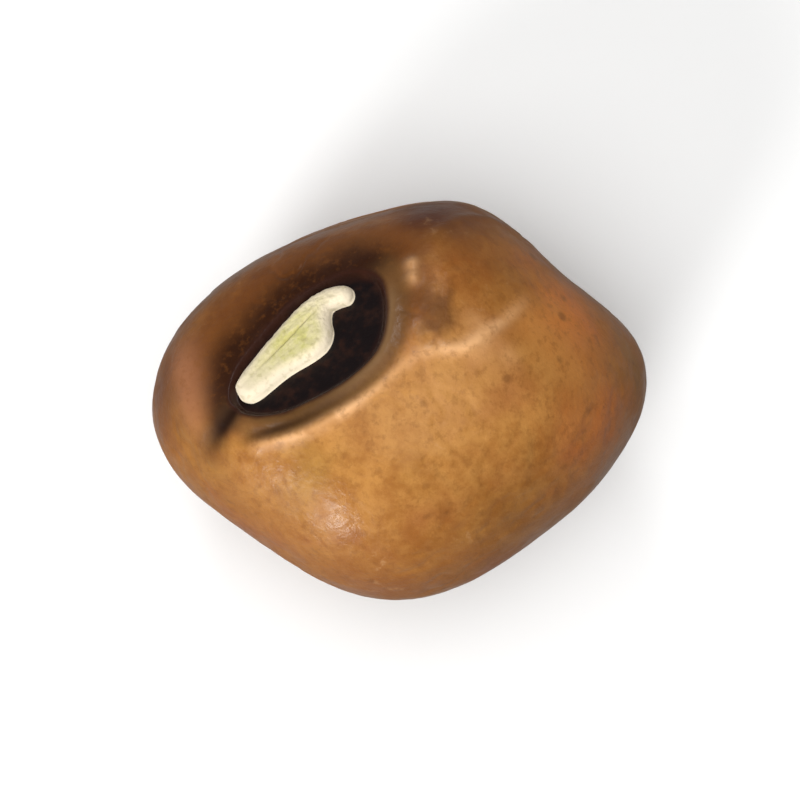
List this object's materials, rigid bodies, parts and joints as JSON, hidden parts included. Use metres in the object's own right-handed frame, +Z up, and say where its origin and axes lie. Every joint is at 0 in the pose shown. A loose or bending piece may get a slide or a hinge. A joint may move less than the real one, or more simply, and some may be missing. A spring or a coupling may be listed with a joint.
{
  "type": "cowpea seed",
  "caption": "Dry brown cowpea seed of the blunt-cornered crowder shape, with a sunken dark eye and a raised cream pad, lying on a small flat spot.",
  "frame": {"origin": "on the surface that the seed lies on, under the middle of its box", "axes": "+X along the seed's longest way, towards its back corner; +Y across it, towards the side that the eye leans to; +Z up, its shortest way"},
  "size_m": [0.0078, 0.0062, 0.006],
  "materials": {
    "seed_coat": "satin"
  },
  "bodies": {
    "root": {"seed": "seed_coat"}
  },
  "joints": []
}
